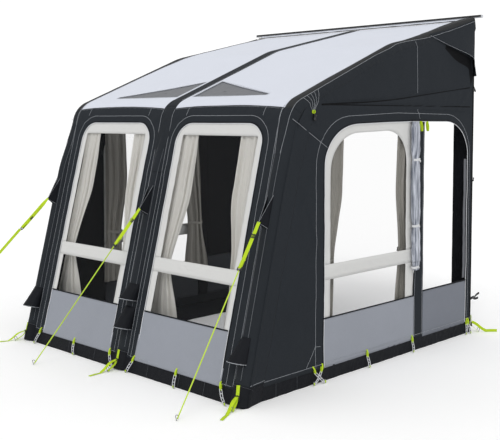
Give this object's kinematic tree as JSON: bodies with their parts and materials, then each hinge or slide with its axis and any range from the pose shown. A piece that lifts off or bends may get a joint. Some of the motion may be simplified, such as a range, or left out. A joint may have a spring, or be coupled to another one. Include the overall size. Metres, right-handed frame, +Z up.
{
  "type": "campervan awning",
  "caption": "Inflatable porch awning for a campervan: dark walls, pale bent roof, windows with curtains, rolled side door, skirt and guy lines",
  "frame": {"origin": "middle of the footprint on the ground, without the free guy lines", "axes": "+X towards the awning's right side wall with the open door, +Y towards the vehicle, +Z up; the sloping window wall faces -Y"},
  "size_m": [3.102, 3.4293, 2.571],
  "materials": {
    "aluminium": "satin anodised aluminium",
    "black": "near-black coated skirt fabric, matt",
    "bladder": "welded air tube film, satin",
    "charcoal": "dark grey coated fabric, matt",
    "curtain": "warm light grey woven curtain, matt",
    "film": "clear window film, glossy",
    "lime": "lime green woven webbing and line, satin",
    "mudwall": "mid-grey coated fabric, matt",
    "plastic": "black plastic, matt",
    "roll": "rolled translucent film, satin",
    "roof": "pale blue-grey coated roof fabric, satin",
    "skylight": "tinted smoke-grey film, glossy",
    "white": "off-white coated fabric, satin"
  },
  "bodies": {
    "canopy": {"centre_air_tube": "bladder", "centre_beam_sleeve": "charcoal", "door_panel_left": "charcoal", "door_roll_right": "roll", "foot_strap_front_centre": "lime", "foot_strap_front_left": "lime", "foot_strap_front_right": "lime", "foot_strap_rear_left": "lime", "foot_strap_rear_right": "lime", "front_film_left": "film", "front_film_right": "film", "front_mudwall_left": "mudwall", "front_mudwall_right": "mudwall", "front_panel_left": "charcoal", "front_panel_right": "charcoal", "front_window_frame_left": "white", "front_window_frame_right": "white", "ground_skirt": "black", "guy_line_centre": "lime", "guy_line_left": "lime", "guy_line_right": "lime", "guy_webbing_centre": "lime", "guy_webbing_left": "lime", "guy_webbing_right": "lime", "kador_strip": "white", "left_air_tube": "bladder", "left_beam_sleeve": "charcoal", "rear_pad_left": "black", "rear_pad_right": "black", "right_air_tube": "bladder", "right_beam_sleeve": "charcoal", "roof_panel_left": "roof", "roof_panel_right": "roof", "side_film_left": "film", "side_film_right": "film", "side_mudwall_left": "mudwall", "side_mudwall_right": "mudwall", "side_wall_left": "charcoal", "side_wall_right": "charcoal", "side_window_frame_left": "white", "side_window_frame_right": "white", "skylight_left": "skylight", "skylight_right": "skylight"},
    "rail": {"awning_rail": "aluminium", "rail_end_cap_left": "aluminium", "rail_end_cap_right": "aluminium"},
    "front_curtain_left_inner": {"front_curtain_left_inner": "curtain"},
    "front_curtain_left_outer": {"front_curtain_left_outer": "curtain"},
    "side_curtain_left_front": {"side_curtain_left_front": "curtain"},
    "side_curtain_left_rear": {"side_curtain_left_rear": "curtain"},
    "front_curtain_right_inner": {"front_curtain_right_inner": "curtain"},
    "front_curtain_right_outer": {"front_curtain_right_outer": "curtain"},
    "side_curtain_right_front": {"side_curtain_right_front": "curtain"},
    "side_curtain_right_rear": {"side_curtain_right_rear": "curtain"},
    "valve_cap_centre_high": {"valve_cap_centre_high": "plastic"},
    "valve_cap_centre_low": {"valve_cap_centre_low": "plastic"},
    "valve_cap_left": {"valve_cap_left": "plastic"},
    "valve_cap_right": {"valve_cap_right": "plastic"},
    "door_mudwall_left": {"door_mudwall_left": "mudwall"},
    "door_mudwall_right": {"door_mudwall_right": "mudwall"}
  },
  "joints": [
    {"name": "rail_slide", "type": "slide", "parent": "canopy", "child": "rail", "axis": [1, 0, 0], "range_m": [-0.049, 0.049]},
    {"name": "front_curtain_left_inner_slide", "type": "slide", "parent": "canopy", "child": "front_curtain_left_inner", "axis": [-1, 0, 0], "range_m": [0, 0.15]},
    {"name": "front_curtain_left_outer_slide", "type": "slide", "parent": "canopy", "child": "front_curtain_left_outer", "axis": [1, 0, 0], "range_m": [0, 0.15]},
    {"name": "side_curtain_left_front_slide", "type": "slide", "parent": "canopy", "child": "side_curtain_left_front", "axis": [0, 1, 0], "range_m": [0, 0.15]},
    {"name": "side_curtain_left_rear_slide", "type": "slide", "parent": "canopy", "child": "side_curtain_left_rear", "axis": [0, -1, 0], "range_m": [0, 0.15]},
    {"name": "front_curtain_right_inner_slide", "type": "slide", "parent": "canopy", "child": "front_curtain_right_inner", "axis": [1, 0, 0], "range_m": [0, 0.15]},
    {"name": "front_curtain_right_outer_slide", "type": "slide", "parent": "canopy", "child": "front_curtain_right_outer", "axis": [-1, 0, 0], "range_m": [0, 0.15]},
    {"name": "side_curtain_right_front_slide", "type": "slide", "parent": "canopy", "child": "side_curtain_right_front", "axis": [0, 1, 0], "range_m": [0, 0.15]},
    {"name": "side_curtain_right_rear_slide", "type": "slide", "parent": "canopy", "child": "side_curtain_right_rear", "axis": [0, -1, 0], "range_m": [0, 0.15]},
    {"name": "door_mudwall_left_hinge", "type": "hinge", "parent": "canopy", "child": "door_mudwall_left", "pos_m": [-1.2, 0.98537, 0.0854], "axis": [0, -1, 0], "range_deg": [0, 90]},
    {"name": "door_mudwall_right_hinge", "type": "hinge", "parent": "canopy", "child": "door_mudwall_right", "pos_m": [1.2, 0.98537, 0.0854], "axis": [0, 1, 0], "range_deg": [0, 90]},
    {"name": "valve_cap_left_turn", "type": "hinge", "parent": "canopy", "child": "valve_cap_left", "pos_m": [-1.16, -1.24597, 0.30595], "axis": [0, -0.9692, 0.2461], "range_deg": [0, 270]},
    {"name": "valve_cap_centre_low_turn", "type": "hinge", "parent": "canopy", "child": "valve_cap_centre_low", "pos_m": [0, -1.24105, 0.32534], "axis": [0, -0.9692, 0.2461], "range_deg": [0, 270]},
    {"name": "valve_cap_centre_high_turn", "type": "hinge", "parent": "canopy", "child": "valve_cap_centre_high", "pos_m": [0, -1.19182, 0.51919], "axis": [0, -0.9692, 0.2461], "range_deg": [0, 270]},
    {"name": "valve_cap_right_turn", "type": "hinge", "parent": "canopy", "child": "valve_cap_right", "pos_m": [1.16, -1.2472, 0.30111], "axis": [0, -0.9692, 0.2461], "range_deg": [0, 270]}
  ]
}
